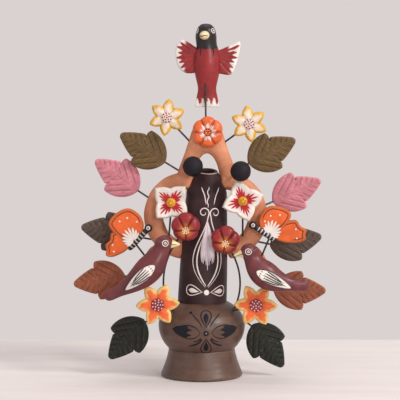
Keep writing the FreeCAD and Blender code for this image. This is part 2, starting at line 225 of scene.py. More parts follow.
def dot(surface, across, up, radius, colour, height=0.35):
    """Small domed dab of paint on a surface function."""
    spot, normal = surface(np.array([across]), np.array([up]))
    side = unit(np.cross(normal[0], [0.0, 0.0, 1.0]))
    turn = turns(14)[:, None]
    disc = side * np.cos(turn) + np.cross(side, normal[0]) * np.sin(turn)
    tilt = np.linspace(0.08, pi - 0.08, 7)[:, None, None]
    return spot[0] + disc * radius * np.sin(tilt) + normal[0] * height * np.cos(tilt), colour, True


def dot_rings(surface, middle, middle_size, rings, size, colour):
    """A dot, and rings of (count, radius, first angle) dots round it."""
    dots = [dot(surface, *middle, middle_size, colour)]
    for count, reach, first in rings:
        for spot in oval(middle, reach, reach, turns(count) + first):
            dots.append(dot(surface, *spot, size, colour))
    return dots


def ball(centre, radius, colour, stretch=(1, 1, 1), lumps=0.0):
    """Rings of a ball, a little uneven if lumps is above 0."""
    tilt, turn = np.linspace(0.04, pi - 0.04, 26)[:, None], turns(40)
    way = columns(np.sin(tilt) * np.cos(turn), np.sin(tilt) * np.sin(turn), np.cos(tilt))
    size = radius * (1 + lumps * np.sin(3 * turn + 5 * tilt) * np.sin(tilt) * np.cos(2 * tilt))
    return centre + way * size[..., None] * stretch, colour, True


# ---- flat ornaments ----
def rotate(points, angle):
    """Flat points turned by an angle in degrees."""
    c, s = toward(radians(angle))
    x, y = points[..., 0], points[..., 1]
    return columns(x * c - y * s, x * s + y * c)


def placing(node, outline, turn, thickness, mirror=1):
    """Function from local (across, up, forward) to the frame, set by the node's box."""
    low, high = np.array(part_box(node)) / MM
    turned = rotate(outline, turn) * (mirror, 1)
    offset = (low + high)[::2] / 2 - (turned.min(0) + turned.max(0)) / 2
    depth = high[1] - thickness / 2

    def place(points):
        flat = rotate(points[..., :2], turn) * (mirror, 1) + offset
        return columns(flat[..., 0], depth - points[..., 2], flat[..., 1])
    return place


def edge_distance(points, outline):
    """Shortest distance from each point to a closed outline."""
    a = outline
    run = np.roll(outline, -1, 0) - a
    offset = points.reshape(-1, 1, 2) - a[None]
    t = np.clip((offset * run).sum(-1) / ((run ** 2).sum(-1) + 1e-12), 0, 1)
    return np.linalg.norm(offset - t[..., None] * run, axis=-1).min(1).reshape(points.shape[:-1])


def slab(place, outline, thickness, relief, paint, centre=(0, 0), rings=30, lift=0.0):
    """Flat ornament in rings from its front's middle, round its edge, to its back's middle."""
    centre = np.asarray(centre, float)
    spread = 1 - (1 - np.linspace(0.02, 1, rings)) ** 1.6
    flat = centre + spread[:, None, None] * (outline - centre)
    x, y, edge = flat[..., 0], flat[..., 1], edge_distance(flat, outline)
    half = thickness / 2
    rim = np.sqrt(np.clip(1 - (1 - np.clip(edge / half, 0, 1)) ** 2, 0, 1))
    front = columns(x, y, half * rim + relief(x, y, edge) * rim + lift)
    back = columns(x, y, lift - half * rim)[-2::-2]
    colour = paint(x, y, edge)
    return place(np.concatenate([front, back])), np.concatenate([colour, colour[-2::-2]]), True


def facing(spots):
    """Points with normals to the front, as a surface function returns them."""
    return spots, np.broadcast_to(FRONT, spots.shape)


def front_of(place, height):
    """Surface function for strokes and dots on an ornament's front."""
    def surface(across, up):
        return facing(place(columns(across, up, height(across, up) if callable(height) else height)))
    return surface


def petals(count, radius, waist, sharpness, points=180):
    """Outline of a flower, first petal along +across; a low sharpness gives hollow-sided points."""
    angle = turns(points)
    from_tip = 2 * np.abs((angle * count / TAU + 0.5) % 1 - 0.5)
    reach = radius * (waist + (1 - waist) * (1 - from_tip ** sharpness))
    return oval((0, 0), reach, reach, angle)


# ---- materials ----
def new_material(name):
    """A material, its shader, and functions that add a node or fill a node's inputs."""
    material = bpy.data.materials.new(name)
    material.use_nodes = True
    nodes, links = material.node_tree.nodes, material.node_tree.links

    def fill(node, inputs):
        """Set or link a node's inputs, by name or number."""
        for key, value in inputs.items():
            if isinstance(value, bpy.types.NodeSocket):
                links.new(value, node.inputs[key])
            else:
                node.inputs[key].default_value = value
        return node

    def add(kind, inputs=None, **settings):
        node = nodes.new("ShaderNode" + kind)
        for key, value in settings.items():
            setattr(node, key, value)
        return fill(node, inputs or {})
    return material, nodes["Principled BSDF"], fill, add


def ramp(add, value, low, high, start=0.0, end=1.0):
    """Colour that runs from low to high as the value goes from start to end."""
    node = add("ValToRGB", {"Fac": value})
    for element, place, colour in zip(node.color_ramp.elements, (start, end), (low, high)):
        element.position = place
        element.color = (*colour, 1)
    return node.outputs["Color"]


def painted_clay(name, roughness=0.62, coat=0.0, mottling=0.22, grain=0.16, wear=0.35, streaks=0.0,
                 specular=0.22):
    """Earth paint on low-fired clay: the mesh's paint colour, mottled, brushed and worn at its edges, with
    painted shade in its hollows.
    """
    material, shader, fill, add = new_material(name)
    place = add("TexCoord").outputs["Object"]

    def noise(scale, detail, stretch=None):
        where = add("Mapping", {"Vector": place, "Scale": stretch}).outputs["Vector"] if stretch else place
        return add("TexNoise", {"Vector": where, "Scale": scale, "Detail": detail}).outputs["Fac"]

    def spread(value, low, high, start=0.3, end=0.7):
        """The value's stretch from start to end, made to run from low to high."""
        return add("MapRange", {"Value": value, "From Min": start, "From Max": end,
                                "To Min": low, "To Max": high}).outputs["Result"]

    def mix(kind, factor, one, two):
        return add("Mix", {0: factor, 6: one, 7: two}, data_type="RGBA", blend_type=kind).outputs[2]

    paint = add("Attribute", attribute_name="paint").outputs["Color"]
    patches = noise(95, 4)
    fine = noise(900, 5)
    brushed = noise(260, 3, (0.16, 0.16, 1)) if streaks else fine
    shade = mix("MULTIPLY", 1.0, paint, spread(patches, 1 - mottling, 1 + mottling * 0.5))
    shade = mix("MULTIPLY", 0.6 + 0.4 * streaks, shade, spread(brushed, 0.86, 1.1))
    edges = add("NewGeometry").outputs["Pointiness"]
    rubbed = add("Math", {0: spread(edges, 0.0, wear, 0.53, 0.62), 1: spread(fine, 0.3, 1.0)},
                 operation="MULTIPLY").outputs[0]
    shade = mix("SCREEN", rubbed, shade, (0.34, 0.27, 0.22, 1))
    # painted shade: darker where the surface is hollow, in creases and between parts
    shade = mix("MULTIPLY", spread(edges, 0.0, 0.6, 0.49, 0.4), shade, (0.42, 0.36, 0.34, 1))
    bump = add("Bump", {"Strength": grain, "Distance": 0.0006, "Height": fine})
    dents = add("Bump", {"Strength": 0.22, "Distance": 0.0012, "Height": brushed if streaks else patches,
                         "Normal": bump.outputs["Normal"]})
    fill(shader, {"Base Color": shade, "Roughness": spread(patches, roughness - 0.09, roughness + 0.09),
                  "Normal": dents.outputs["Normal"], "Coat Weight": coat, "Coat Roughness": 0.28,
                  "Specular IOR Level": specular})
    return material


MATTE = painted_clay("matte_paint", roughness=0.66)
POT = painted_clay("burnished_clay", roughness=0.4, specular=0.4, mottling=0.26, wear=0.3, streaks=0.9)
CHARCOAL = painted_clay("rough_black", roughness=0.6, mottling=0.3, grain=0.5, wear=0.3)
SLIP = painted_clay("burnished_slip", roughness=0.5, mottling=0.3, wear=0.2, streaks=1.0)
BARE = painted_clay("smoothed_terracotta", roughness=0.62, mottling=0.2, grain=0.22)
SATIN = painted_clay("satin_paint", roughness=0.42, coat=0.25, wear=0.25)
GLOSS = painted_clay("glossy_paint", roughness=0.3, coat=0.5, wear=0.2)
BRUSH = painted_clay("brush_marks", roughness=0.55, mottling=0.1, wear=0.0)


def wire_material():
    """Black-brown lacquer on wire, rubbed thin here and there."""
    material, shader, fill, add = new_material("lacquered_wire")
    rub = add("TexNoise", {"Vector": add("TexCoord").outputs["Object"], "Scale": 420}).outputs["Fac"]
    rough = add("MapRange", {"Value": rub, "To Min": 0.3, "To Max": 0.6})
    bump = add("Bump", {"Strength": 0.25, "Distance": 0.0003, "Height": rub})
    fill(shader, {"Base Color": ramp(add, rub, tint(36, 31, 31), tint(78, 60, 50), 0.42, 0.72),
                  "Roughness": rough.outputs["Result"], "Normal": bump.outputs["Normal"],
                  "Coat Weight": 0.4, "Metallic": 0.3})
    return material


# ---- the pot ----
(_, _, FOOT_HEIGHT), (BELLY_RADIUS, _, BELLY_TOP) = np.array(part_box("belly")) / MM
FOOT_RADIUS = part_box("foot")[1][0] / MM
BELLY_MIDDLE = BELLY_TOP - 20
BELLY_RISE, BELLY_FALL = 24.5, 31.0    # half heights of the ovals above and below its middle
WALL = 4.5
SHOULDER, MOUTH = 95.0, 112.0          # heights above the belly
MOUTH_RADIUS, MOUTH_BORE = 8.8, 6.4
MOUTH_TILT = tan(radians(12))
BOTTLE_RADIUS, BOTTLE_TAPER = 20.9, 3.7
BOTTLE_OFFSET = 0.4
LEAN = radians(2.3)


def belly_at(z):
    height = np.asarray(z) - BELLY_MIDDLE
    return BELLY_RADIUS * np.sqrt(1 - (height / np.where(height > 0, BELLY_RISE, BELLY_FALL)) ** 2)


def lathe(outline):
    """Ring stack from (radius, height) points round a wall's section, a little out of round."""
    radius, height = outline[:, :1], outline[:, 1:]
    turn = turns(144)
    return upright(radius * (1 + 0.12 / 100 * np.sin(2 * turn + 1 + height / 14)), turn, height)


def make_foot():
    neck = belly_at(FOOT_HEIGHT)
    s = steps(24)
    outer = np.c_[neck + (FOOT_RADIUS - neck) * (1 - s) ** 1.4, 2 + (FOOT_HEIGHT - 2.02) * s]
    inner = [(22, FOOT_HEIGHT - 0.02), (23.5, FOOT_HEIGHT - 5), (27, 9), (FOOT_RADIUS - WALL, 0.0)]
    rim = [(FOOT_RADIUS - 2, 0.0), (FOOT_RADIUS - 0.6, 0.6)]
    piece_for("foot", [(lathe(np.vstack([outer, inner, rim])), CLAY_BROWN, False)], POT)


def make_belly():
    z = np.linspace(BELLY_TOP, FOOT_HEIGHT, 44)
    outer = np.c_[belly_at(z), z]
    hollow = BELLY_RADIUS - WALL
    angle = np.linspace(-0.75, 1.04, 16)
    drop = np.where(angle > 0, 18.3, 22.0)
    inner = oval((0, BELLY_MIDDLE), hollow, drop, angle)
    inside, under = [(0.8, 28.5), (12, 28.5)], [(12, FOOT_HEIGHT), (0.8, FOOT_HEIGHT)]
    outline = np.vstack([inside, inner, [(16, BELLY_TOP)], outer, under])
    piece_for("belly", [(lathe(outline), CLAY_BROWN, True)], POT)


def bottle_at(z):
    return BOTTLE_RADIUS - BOTTLE_TAPER * (np.clip(z, 0, SHOULDER) / SHOULDER) ** 1.5


def lean(points):
    """Lean the bottle's own frame over and stand it on the belly."""
    x, y, z = np.moveaxis(points, -1, 0)
    c, s = cos(LEAN), sin(LEAN)
    return columns(BOTTLE_OFFSET + x * c + z * s, y, BELLY_TOP - x * s + z * c)


def make_bottle():
    z = np.linspace(-0.9, SHOULDER - 1.2, 60)
    wall = np.c_[bottle_at(z), z]
    edge = bottle_at(SHOULDER)
    shoulder = smooth_line([(edge - 0.3, SHOULDER), (edge - 4.6, SHOULDER + 10.2),
                            (MOUTH_RADIUS, MOUTH - 0.8)])
    lip = [(MOUTH_RADIUS - 0.6, MOUTH), (MOUTH_BORE + 0.6, MOUTH), (MOUTH_BORE, MOUTH - 0.8)]
    throat = [(MOUTH_BORE + 0.3, MOUTH - 3), (edge - 6.5, SHOULDER + 4), (edge - 4.4, SHOULDER - 5)]
    inside = [(bottle_at(q) - 4.2, q) for q in np.linspace(SHOULDER - 10, -0.9, 12)]
    rings = lathe(np.vstack([wall, shoulder, lip, throat, inside]))
    high = np.clip((rings[..., 2] - SHOULDER) / (MOUTH - SHOULDER), 0, 1)
    rings[..., 2] += high * rings[..., 1] * MOUTH_TILT
    shade = blend(DARK_SLIP, tint(60, 39, 41), 0.5 + 0.5 * np.sin(rings[..., 2] / 9 + rings[..., 0] / 7))
    piece_for("bottle", [(lean(rings), shade, False)], SLIP)


def bottle_front(across, up):
    """Bottle's surface at an arc length across from its front line and a height above the belly."""
    radius = bottle_at(up)
    slope = np.clip((up - SHOULDER) / (MOUTH - SHOULDER), 0, 1)
    radius = np.where(up > SHOULDER, radius + (MOUTH_RADIUS - radius) * slope, radius)
    angle = across / np.maximum(radius, 1)
    tip = slope * -radius * np.cos(angle) * MOUTH_TILT
    return lean(upright(radius, angle, up + tip)), unit(upright(1, angle, 0.6 * (up > SHOULDER)))


def belly_front(across, up):
    """Belly's surface at an arc length across from its front line and a height."""
    radius = belly_at(up)
    angle = across / radius
    slope = (belly_at(up + 0.1) - belly_at(up - 0.1)) / 0.2
    return upright(radius, angle, up), unit(upright(1, angle, -slope))


def teardrop(middle, length, width, angle):
    """Closed drop outline that starts and ends at its point and is fattest at its far end."""
    s = np.linspace(0, TAU, 17)
    drop = columns((1 - np.cos(s)) / 2 * length, width / 2 * np.sin(s) * np.sin(s / 2) ** 1.5)
    return rotate(drop, angle) + middle


def fill_drop(surface, middle, length, width, angle, colour):
    """Solid drop of paint as one wide tapered stroke."""
    flat = smooth_line(rotate(columns(np.linspace(0, length, 8), 0.0), angle) + middle, 3)
    s = steps(len(flat))
    spots, normals = surface(flat[:, 0], flat[:, 1])
    half = width / 2 * np.sin(pi * s ** 1.6 * 0.97 + 0.03) ** 0.8
    return tube(spots, half, STROKE_RISE, normals, 10, colour)


def spiral(middle, radius, rounds, start, side):
    """Curl that winds inwards, from start degrees, on one side of the pattern."""
    s = steps(22)
    reach = radius * (1 - 0.72 * s)
    return oval(middle, side * reach, reach, radians(start) - TAU * rounds * s)


def paint_bottle():
    """Curling stems round a feather, rays on the shoulder and a bow at the foot."""
    middle = 3.2               # the painting sits a little to the right of the bottle's front
    top, bottom = 74.0, 14.5
    lines = []
    for side in SIDES.values():
        s = steps(14)
        swell = 1.2 + 11.8 * np.sin(pi * s ** 1.45)
        stem = columns(middle + side * swell, top + (bottom - top) * s)
        curl = spiral((middle + side * 5.0, top + 3.6), 4.6, 1.1, 200, side)[::-1]
        s = s[4:]
        swell = 0.6 + 8.8 * np.sin(pi * s ** 1.5)
        inner = columns(middle + side * swell, top + (bottom + 1 - top) * s)
        ray = np.array([(7.8, 99.5), (6.6, 96), (4.8, 91.5), (3.4, 84.5)]) * (side, 1) + (middle, 0)
        bow = (middle + side * 3.4, 10.4)
        heading = 6 if side > 0 else 174
        lines += [
            stroke(bottle_front, np.vstack([curl, stem]), 0.95, BOW_WHITE, per_span=3),
            stroke(bottle_front, inner, 1.25, WHITE, taper=(0.1, 0.4)),
            stroke(bottle_front, ray, 0.9, BOW_WHITE),
            stroke(bottle_front, teardrop(bow, 15, 12.5, heading), 0.85, BOW_WHITE, per_span=4),
            fill_drop(bottle_front, (bow[0] + side * 3, 10.6), 9.5, 4.2, heading, WHITE),
        ]
    wave = [(middle - 2 + 0.7 * sin(k * 1.9), 101 - 2.4 * k) for k in range(9)]
    lines += [stroke(bottle_front, wave, 0.85, BOW_WHITE), dot(bottle_front, middle, 10.2, 2.4, WHITE)]
    for k in np.linspace(-1, 1, 9):
        s = steps(9)
        length = 40 - 6 * abs(k) + 2.5 * cos(7 * k)
        curve = 5.4 * k * np.sin(pi * 0.62 * s ** 1.2)
        plume = columns(middle - 1.6 + 1.6 * s + curve, 71.5 - length * s)
        shade = blend(BOW_WHITE, tint(186, 176, 190), 0.5 + 0.5 * cos(5 * k))
        lines.append(stroke(bottle_front, plume, 1.5, shade, taper=(0.05, 0.3)))
    rim = columns(MOUTH_RADIUS * np.linspace(-1.35, 1.35, 15), MOUTH - 0.4)
    lines.append(stroke(bottle_front, rim, 0.9, tint(176, 150, 140)))
    marks("bottle", "painting", lines)


def paint_belly():
    """Dark flower of drops, leaves and feelers round a ringed dot."""
    middle, level = 3.6, BELLY_MIDDLE - 2.2
    ink = tint(22, 21, 30)
    # share of the leaf's half width, and how far out the flame of paint starts
    flames = ((-0.78, 16), (-0.45, 12.5), (0, 15.5), (0.35, 12), (0.74, 15), (-0.2, 20), (0.5, 19),
              (-0.6, 19))
    whiskers = (    # points (across, up), width, taper
        (((3.2, 5), (6, 9.5), (9.5, 13), (12.5, 16)), 1.0, (0.35, 0.35)),
        (((3.6, -5), (7, -9), (15, -12)), 1.5, (0.9, 0.2)),
        (((4.6, -4.2), (7.5, -6.8), (11, -7.6)), 1.0, (0.9, 0.2)),
    )
    lines = [dot(belly_front, middle, level, 2.3, ink)]
    for up in (1, -1):
        petal = teardrop((middle, level + up * 4.6), 13.4, 12.5, 90 * up)
        lines += [stroke(belly_front, petal, 1.0, ink, per_span=4),
                  fill_drop(belly_front, (middle, level + up * 6.5), 9.5, 4.4, 90 * up, ink)]
    for side in SIDES.values():
        def leaf(run, share):
            """Points on a pointed leaf that lifts at its tip; share goes from -1 to 1 across it."""
            s = (run - 5) / 26
            swell = 6.6 * np.sin(pi * s ** 0.8) ** 0.9 * (1 - 0.35 * s)
            return columns(middle + side * run, level + 0.4 + 2.4 * s * s + share * swell)
        edge, inside = np.linspace(5, 31, 14), (3.0, ink, (0.05, 0.25), 4)
        lines += [stroke(belly_front, leaf(edge, share), 0.9, ink, (0.4, 0.4), 4) for share in (-1, 1)]
        lines += [stroke(belly_front, leaf(np.linspace(start, 30, 8), share), *inside)
                  for share, start in flames]
        lines += [stroke(belly_front, np.array(points) * (side, 1) + (middle, level), width, ink, taper)
                  for points, width, taper in whiskers]
    lines.append(dot(belly_front, middle - 13, level + 16.4, 1.4, ink))
    marks("belly", "flower", lines)
    eye = dot(belly_front, middle, level, 1.1, tint(120, 104, 98), 0.55)
    marks("belly", "flower_eye", [eye])


# ---- the coil frame ----
LOOP_HEIGHT, LOOP_OFFSET, LOOP_RADIUS = 137.5, 14.5, 30.0
ARCH_FOOT = 164.0
ARM_START, ARM_REACH, ARM_TIP, ARM_DROP = 29.5, 22.0, 80.0, 29.5
COIL_DEPTH = 5.5
# the arch's edges on one side, as (distance from its middle, height)
ARCH_OUTER = [(25, 160), (26.5, 168), (23.8, 178), (19.3, 190), (15.6, 201), (12.2, 211), (6.6, 218),
              (0, 220)]
ARCH_INNER = [(10.5, 160), (11.2, 168), (10.2, 175), (8.6, 181), (6.2, 186), (3.6, 189), (1.6, 190.3),
              (0, 190.6)]


def centre_x(z):
    """Where the leaning bottle's axis is at a height."""
    return BOTTLE_OFFSET + (z - BELLY_TOP) * tan(LEAN)


def rounded_ends(s, share=0.03):
    """Scale that closes a roll over a share of its length at each end."""
    return np.sqrt(np.clip(1 - np.clip(1 - np.minimum(s, 1 - s) / share, 0, 1) ** 2, 0.02, 1))


def coil_part(points, wide):
    """Roll of clay in the XZ plane, a little uneven along its length, with rounded ends."""
    points = np.asarray(points, float)
    line = smooth_line(columns(points[:, 0], 0.0, points[:, 1]), 8)
    s = steps(len(line))
    wide = np.interp(s, steps(len(points)), wide)
    uneven = 1 + 0.018 * np.sin(17 * s + points[0, 0]) + 0.012 * np.sin(41 * s)
    close = rounded_ends(s)
    rings, _, ends = tube(line, wide * uneven * close, np.minimum(COIL_DEPTH, wide) * close, FRONT, 40)
    return rings, terracotta_with_painted_highlight(rings), ends


def terracotta_with_painted_highlight(rings):
    """Terracotta in a tone that changes with height, and a painted highlight: paler where the roll faces the
    front.
    """
    # painted highlight: lift is 1 on the roll's front and -1 on its back
    lift = rings[..., 1] / -COIL_DEPTH
    return blend(tint(178, 108, 76), tint(208, 140, 106), 0.5 + 0.4 * lift + 0.2 * np.sin(rings[..., 2] / 6))


def make_coils():
    for name, side in SIDES.items():
        turn = np.radians(np.linspace(94, -84, 11))
        middle = (centre_x(LOOP_HEIGHT) + side * LOOP_OFFSET, LOOP_HEIGHT)
        loop = oval(middle, side * LOOP_RADIUS, LOOP_RADIUS, turn)
        wide = 7.5 + 0.7 * np.sin(np.linspace(0, pi, len(loop)))
        piece_for("loop_" + name, [coil_part(loop, wide)], BARE)
        s = np.linspace(0.06, 1, 7)
        start = centre_x(ARM_TIP + ARM_DROP) + side * ARM_START
        turn = pi / 2 * s
        arm = columns(start + side * ARM_REACH * np.sin(turn), ARM_TIP + ARM_DROP * np.cos(turn))
        piece_for("arm_" + name, [coil_part(arm, 7 - 3.8 * s ** 3)], BARE)
    left = np.stack([smooth_line(ARCH_OUTER, 8), smooth_line(ARCH_INNER, 8)]) * (-1, 1)
    right = (left * (-1, 1))[:, -2::-1]
    outer, inner = np.concatenate([left, right], 1) + (centre_x(ARCH_FOOT), 0)
    turn = turns(40)[None, :, None]
    flat = ((outer + inner) / 2)[:, None] + ((outer - inner) / 2)[:, None] * np.cos(turn)
    s = steps(len(flat))[:, None]
    depth = -COIL_DEPTH * rounded_ends(s) * np.sin(turn[..., 0]) * (1 + 0.03 * np.sin(23 * s))
    rings = columns(flat[..., 0], depth, flat[..., 1])
    piece_for("top_arch", [(rings, terracotta_with_painted_highlight(rings), True)], BARE)


# ---- leaves ----
LEAF_LENGTH, LEAF_THICKNESS = 45.0, 3.5
BARB_GAP, BARB_SLANT = 4.5, radians(50)       # the blade's short cuts
LOBE_GAP, LOBE_SLANT = 4.9, radians(38)       # the side lobes' long cuts
LEAVES = {      # tilts in degrees, left and right, and the colour
    "olive_leaf": (32, 27, tint(94, 72, 42)), "pink_leaf": (35, 24, tint(184, 114, 124)),
    "brown_leaf": (10, 11, tint(78, 64, 56)), "rust_leaf": (-9, 0, tint(132, 72, 50)),
    "green_leaf": (-49, -55, tint(30, 32, 25)),
}


def arc_points(start, middle, end, count):
    """Points of the circle through three points, without the last one."""
    a, b, c = (np.asarray(p, float) for p in (start, middle, end))
    rows = 2 * np.array([b - a, c - a])
    centre = np.linalg.solve(rows, [b @ b - a @ a, c @ c - a @ a])
    angles = np.unwrap([atan2(*(p - centre)[::-1]) for p in (a, b, c)])
    radius = np.linalg.norm(a - centre)
    return oval(centre, radius, radius, np.linspace(angles[0], angles[2], count, endpoint=False))


def leaf_outline():
    """Round base, a sharp lobe on each side, and a straight-edged blade with a blunt tip."""
    corners = [(0, 0), (0.54, 0.37), (0.555, 0.2), (0.62, 0.25), (0.965, 0.065), (1, 0)]
    between = [(0.17, 0.27), (0.575, 0.29), (0.575, 0.24), (0.8, 0.167), (0.992, 0.035)]
    counts = (44, 12, 8, 24, 6)
    half = np.vstack([arc_points(*arc) for arc in zip(corners, between, corners[1:], counts)])
    other = half[:0:-1] * (1, -1)
    return np.vstack([half, [(1, 0)], other]) * LEAF_LENGTH


def make_leaf(node, tilt, side, colour):
    outline = leaf_outline()
    place = placing(node, outline, tilt, LEAF_THICKNESS, side)

    def grooves(x, y, edge):
        """Short cuts in from the blade's edges and long ones along each side lobe, the vein, and ridges."""
        off = np.abs(y)
        blade = soft(0.56 * LEAF_LENGTH, x, 3)
        barbs = (x * sin(BARB_SLANT) - off * cos(BARB_SLANT)) / BARB_GAP
        lines = (off * cos(LOBE_SLANT) - x * sin(LOBE_SLANT)) / LOBE_GAP + 0.2
        short = hump(barbs - np.round(barbs), 0.13) * (1 - soft(5.5, edge, 4)) * soft(1.5, off, 2)
        long = hump(lines - np.round(lines), 0.13) * soft(3.5, off, 3) * soft(5, x, 5)
        vein = hump(y, 0.45) * soft(5, x, 6) * (1 - soft(0.86 * LEAF_LENGTH, x, 4))
        beside = hump(barbs - np.floor(barbs) - 0.3, 0.12) * blade
        beside = beside + hump(lines - np.floor(lines) - 0.3, 0.12) * (1 - blade)
        return np.maximum(short * blade, long * (1 - blade)) * soft(0.7, edge, 1), 0.6 * vein, beside

    def relief(x, y, edge):
        cuts, vein, beside = grooves(x, y, edge)
        return 0.8 * np.clip(edge / 9, 0, 1) - 0.5 * cuts - 0.35 * vein + 0.12 * beside

    def paint(x, y, edge):
        cuts, vein, beside = grooves(x, y, edge)
        brushed = 0.5 + 0.5 * np.sin(1.9 * y + 0.7 * x) * np.cos(0.9 * x - 1.3 * y)
        rubbed = 0.3 * brushed + 0.55 * beside * brushed + 0.35 * (1 - soft(1.2, edge, 1.5))
        ridge = blend(colour, colour * 1.4 + 0.03, rubbed * (1 - cuts))
        # painted shade: the cuts and the vein darker, as shade falls in them
        return blend(ridge, colour * 0.55, 0.32 * np.maximum(cuts, vein))

    leaf = slab(place, outline, LEAF_THICKNESS, relief, paint, (0.47 * LEAF_LENGTH, 0), 52)
    piece_for(node, [leaf], MATTE)


# ---- flowers ----
PETAL_THICKNESS = 4.0


def make_star(node, turn, radius, petal, rim, disc_colour, dot_colour, rim_width):
    """Six ridged petals with a coloured rim round a raised, dotted disc."""
    thickness = PETAL_THICKNESS
    outline = petals(6, radius, 0.61, 1.1)
    place = placing(node, outline, turn, thickness)

    def ridge(x, y):
        return np.abs(np.cos(3 * np.arctan2(y, x)))

    def relief(x, y, _edge):
        reach = np.hypot(x, y) / radius
        return 1.1 * ridge(x, y) ** 3 * np.clip(1 - reach, 0, 1) - 0.55 * hump(ridge(x, y), 0.3)

    def paint(x, y, edge):
        angle, reach = np.arctan2(y, x), np.hypot(x, y)
        uneven = edge + 0.8 * np.sin(13 * angle + radius) * np.sin(0.7 * reach)
        veins = 0.5 + 0.5 * np.cos(30 * angle)
        inner = blend(petal, blend(petal, rim, 0.4), 0.4 * veins * soft(0.45 * radius, reach, 6))
        shade = blend(rim, inner, soft(rim_width, uneven, 2.3))
        # painted shade: the sunk lines between the petals darker, in a darker copy of the rim colour
        return blend(shade, rim * 0.55, 0.45 * hump(ridge(x, y), 0.14))

    piece_for(node, [slab(place, outline, thickness, relief, paint, rings=36)], MATTE)
    disc_radius = radius * 0.3
    disc = slab(place, petals(10, disc_radius, 0.95, 2.0, 60), 2.2,
                lambda _x, _y, edge: 0.3 * np.clip(edge / 3, 0, 1),
                lambda _x, _y, edge: blend(disc_colour * 0.8, disc_colour, soft(0.6, edge, 1)),
                rings=12, lift=thickness / 2 + 0.3)
    marks(node, "disc", [disc], material=SATIN)
    surface = front_of(place, thickness / 2 + 1.65)
    rows = ((5, disc_radius * 0.42, 5), (9, disc_radius * 0.78, 9))
    marks(node, "dots", dot_rings(surface, (0.0, 0.0), 0.6, rows, 0.56, dot_colour))


def make_pumpkin(node, turn, lobes, colour, glow, tufts, sink=0.0):
    """Fat flower of pressed lobes about an eye that sits lower by sink; tufts adds the crown's ring."""
    radius, thickness, waist, pit = 13.3 if tufts else 12.3, 8.4, 0.9, 2.6
    outline = petals(lobes, radius, waist, 2.6)
    place = placing(node, outline, turn, thickness + 0.6)
    eye = rotate(np.array([0.0, -sink]), -turn)
    valleys = (np.arange(lobes) + 0.5) * TAU / lobes

    def groove(x, y):
        """1 along the pressed lines from the eye to the valleys of the outline."""
        x, y = x - eye[0], y - eye[1]
        nearest = np.full_like(x, np.inf)
        for angle in valleys:
            end = radius * waist * toward(angle) - eye
            along = np.clip((x * end[0] + y * end[1]) / (end @ end), 0, 1)
            nearest = np.minimum(nearest, np.hypot(x - along * end[0], y - along * end[1]))
        return hump(nearest, 0.75)

    def reach(x, y):
        return np.hypot(x - eye[0], y - eye[1])

    def relief(x, y, edge):
        cut = 1.5 * groove(x, y) * soft(2.5, reach(x, y), 2)
        return 0.7 * np.clip(edge / 6, 0, 1) - cut - hump(reach(x, y), pit)

    def paint(x, y, _edge):
        out, angle = reach(x, y), np.arctan2(y, x)
        shade = blend(glow, colour, soft(4.8, out, 6.5))
        # painted shade: the pressed grooves darker, in a darker copy of the flower's colour
        shade = blend(shade, colour * 0.3, (0.45 if tufts else 0.6) * groove(x, y) * soft(3, out, 2))
        if not tufts:
            return shade
        ends = 6.2 + 0.9 * np.cos(9 * angle) + 0.8 * np.cos(25 * angle + 1)
        ring = soft(3.5, out, 0.6) * (1 - soft(ends, out, 0.7))
        return blend(shade, WHITE, ring * (0.75 + 0.25 * np.cos(9 * angle)))

    piece_for(node, [slab(place, outline, thickness, relief, paint, rings=40)], GLOSS if tufts else SATIN)
    surface = front_of(place, lambda x, y: thickness / 2 + 0.72 - hump(reach(x, y), pit))
    rows = ((3, 1.2, 1.2), (8, 2.8, 2.8)) if tufts else ((5, 1.3, 1.3), (8, 2.6, 2.6))
    dots = dot_rings(surface, eye, 0.5, rows, 0.52, NIGHT if tufts else CREAM)
    marks(node, "dots", dots)


def make_cup_flower(node, turn):
    """White squarish flower with crimson strokes to its corners round a yellow knob."""
    radius, thickness = 18.4, PETAL_THICKNESS
    outline = petals(4, radius, 0.64, 0.72)
    place = placing(node, outline, turn, thickness)

    def relief(x, y, _edge=None):
        reach = np.hypot(x, y) / radius
        fold = hump(np.cos(2 * np.arctan2(y, x)), 0.22)
        return 1.9 * reach ** 2 - 0.6 * fold * reach

    def paint(x, y, edge):
        angle = np.arctan2(y, x)
        star = 5.0 + 3.4 * np.abs(np.cos(2 * angle)) ** 1.5 + 0.8 * np.cos(28 * angle)
        shade = blend(WHITE, CREAM * 0.82, 0.7 * (1 - soft(1.3, edge, 2)))
        shade = blend(shade, tint(206, 120, 120), 0.4 * (1 - soft(star + 2, np.hypot(x, y), 4)))
        return blend(shade, CRIMSON, 1 - soft(star, np.hypot(x, y), 1.1))

    piece_for(node, [slab(place, outline, thickness, relief, paint, rings=40)], MATTE)
    surface = front_of(place, lambda x, y: thickness / 2 + relief(x, y) - 0.02)
    flames = []
    for k in range(4):
        for j, length in ((-2, 8.6), (-1, 11.2), (0, 13.6), (1, 11.8), (2, 9.0)):
            way = toward(TAU * k / 4 + 0.24 * j + 0.05 * sin(3 * k + j))
            line = [way * reach for reach in (3.2, length * 0.6, length)]
            flames.append(stroke(surface, line, 1.5, CRIMSON, (0.5, 0.03)))
            if j in (-1, 1):
                flames.append(stroke(surface, [way * 5, way * 7, way * 9], 0.5, WHITE, (0.2, 0.2)))
    marks(node, "flames", flames)
    knob_middle = place(np.array([0.0, 0.0, thickness / 2 + 0.6]))
    marks(node, "knob", [ball(knob_middle, 4.0, YELLOW, (1, 0.8, 1), 0.03)], SATIN)
    surface = front_of(place, thickness / 2 + 3.6)
    dabs = [dot(surface, *(1.9 * toward(1.05 * k)), 0.55, DEEP_ORANGE) for k in range(6)]
    marks(node, "knob_dots", dabs)


